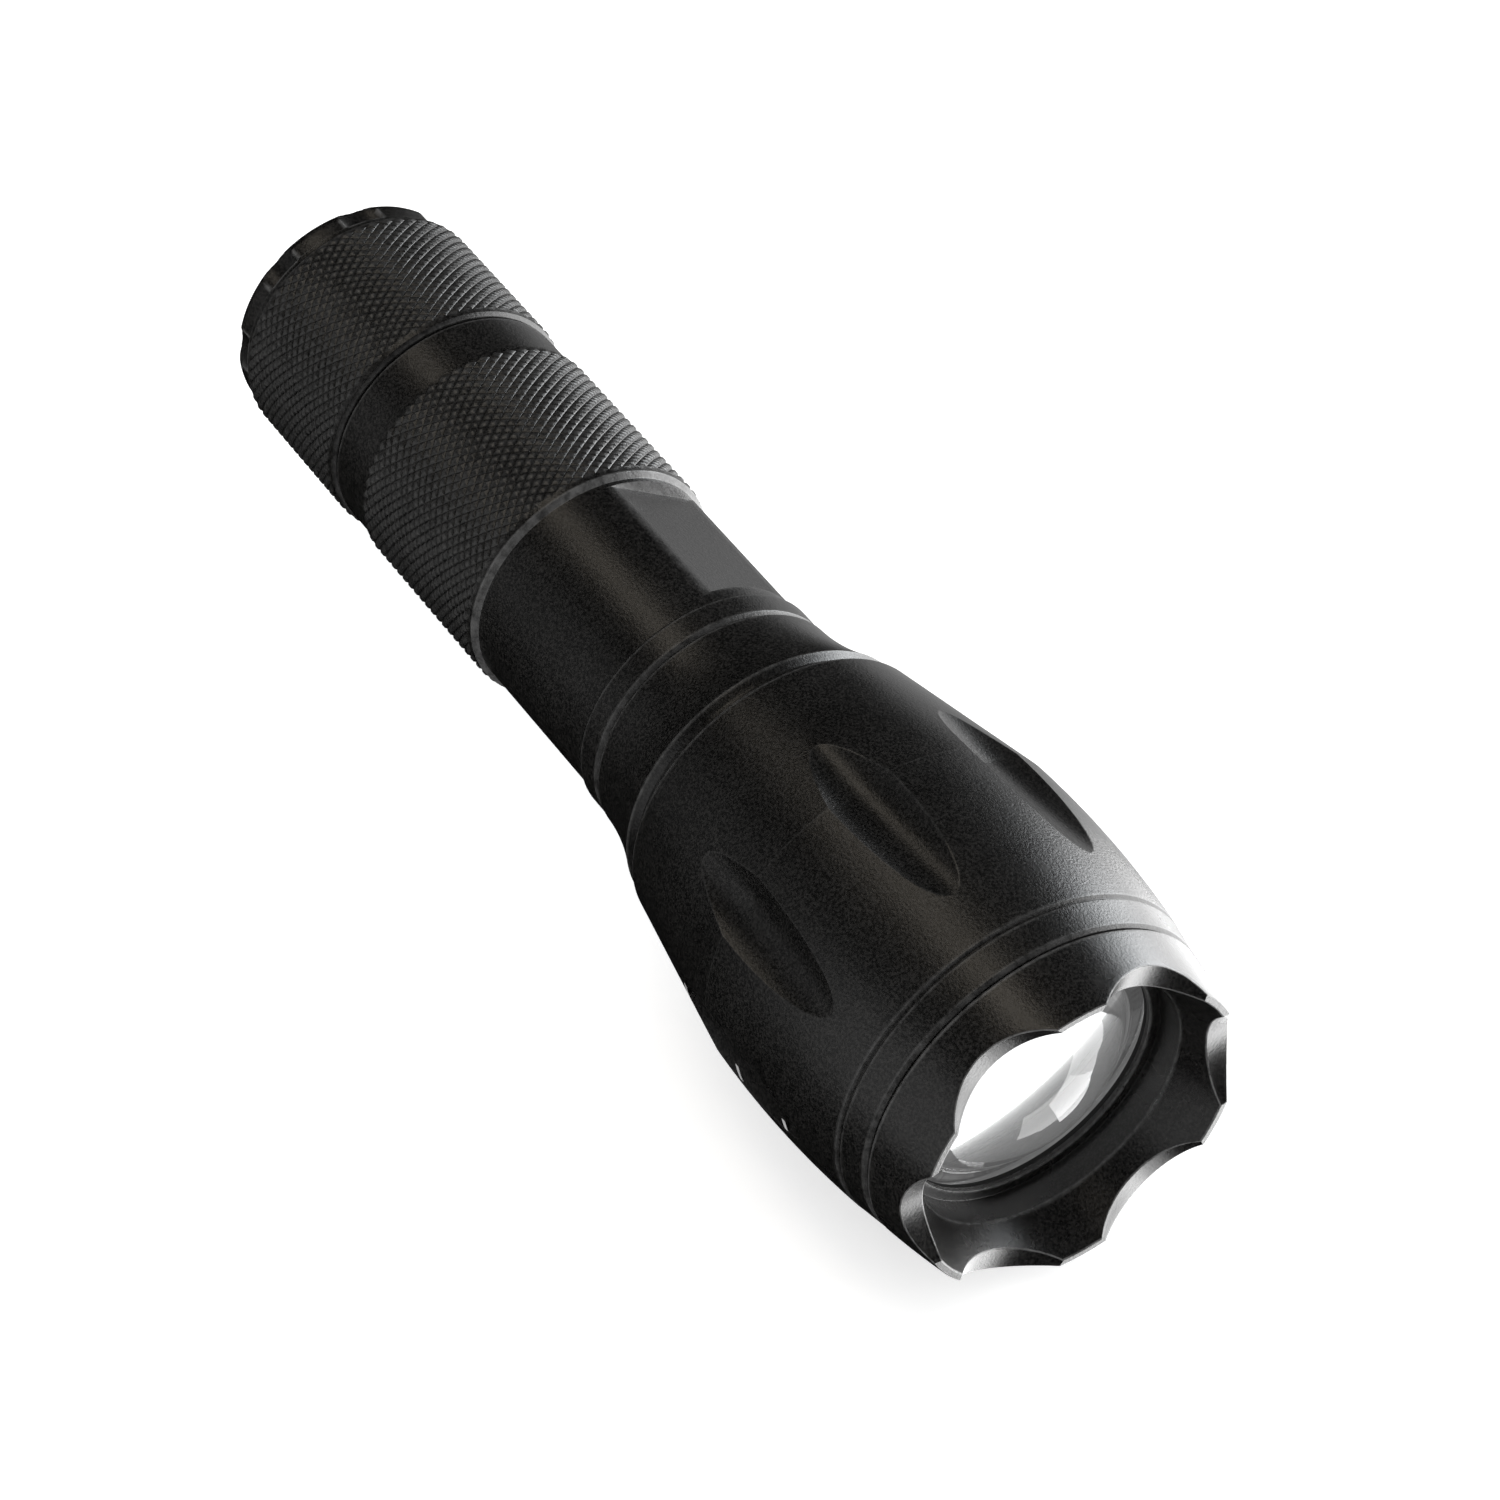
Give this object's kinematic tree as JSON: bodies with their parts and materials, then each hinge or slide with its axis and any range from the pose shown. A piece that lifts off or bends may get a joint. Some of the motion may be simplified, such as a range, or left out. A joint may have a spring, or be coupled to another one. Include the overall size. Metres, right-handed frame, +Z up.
{
  "type": "tactical flashlight",
  "caption": "Handheld flashlight with a knurled battery tube, a sliding focus head with scooped flutes, a toothed front ring, a convex lens and a tail button.",
  "frame": {"origin": "on the beam axis, in the middle of the front knurled grip, where a clamp ring holds the tube", "axes": "+X along the axis towards the beam, +Z up, +Y to the left of the beam"},
  "size_m": [0.1314, 0.0394, 0.0394],
  "materials": {
    "anodised": "satin black hard anodising",
    "inner_tube": "satin black anodising",
    "bare_aluminium": "turned",
    "boot_rubber": "matt moulded silicone rubber",
    "seal_rubber": "greased",
    "black_plastic": "moulded",
    "white_plastic": "moulded",
    "circuit_board": "solder mask",
    "led_board_white": "white solder mask on an aluminium core",
    "led_ceramic": "sintered",
    "led_silicone": "clear silicone over yellow phosphor",
    "spring_steel": "plated wire",
    "screw_steel": "zinc plated",
    "cell_wrap": null,
    "wire_red": "insulation",
    "wire_black": "insulation",
    "lens_clear": "polished"
  },
  "bodies": {
    "barrel": {"body_tube": "anodised", "tail_o_ring": "seal_rubber", "battery_cell": "cell_wrap", "battery_sleeve": "white_plastic", "pill_housing": "inner_tube", "zoom_o_ring": "seal_rubber", "driver_board": "circuit_board", "driver_ring": "bare_aluminium", "driver_chip": "black_plastic", "driver_inductor": "black_plastic", "driver_spring": "spring_steel", "led_board": "led_board_white", "led_package": "led_ceramic", "led_dome": "led_silicone", "led_cover_ring": "black_plastic", "led_screws": "screw_steel", "led_wire_positive": "wire_red", "led_wire_negative": "wire_black"},
    "head": {"head_shell": "anodised", "neck_o_ring": "seal_rubber", "bezel": "anodised", "lens": "lens_clear", "lens_gasket": "seal_rubber", "lens_clamp_ring": "black_plastic"},
    "cap": {"tail_cap": "anodised", "switch_boot": "boot_rubber", "boot_washer": "black_plastic", "switch_housing": "black_plastic", "plunger_spring": "spring_steel", "switch_board": "circuit_board", "switch_retainer_ring": "bare_aluminium", "tail_spring": "spring_steel"},
    "button": {"switch_plunger": "white_plastic"}
  },
  "joints": [
    {"name": "head_zoom", "type": "slide", "parent": "barrel", "child": "head", "axis": [1, 0, 0], "range_m": [0, 0.012]},
    {"name": "cap_removal", "type": "slide", "parent": "barrel", "child": "cap", "axis": [-1, 0, 0], "range_m": [0, 0.03]},
    {"name": "button_press", "type": "slide", "parent": "cap", "child": "button", "axis": [1, 0, 0], "range_m": [0, 0.0016], "stiffness_N_per_m": 1500, "deforming": ["switch_boot", "plunger_spring"]}
  ]
}
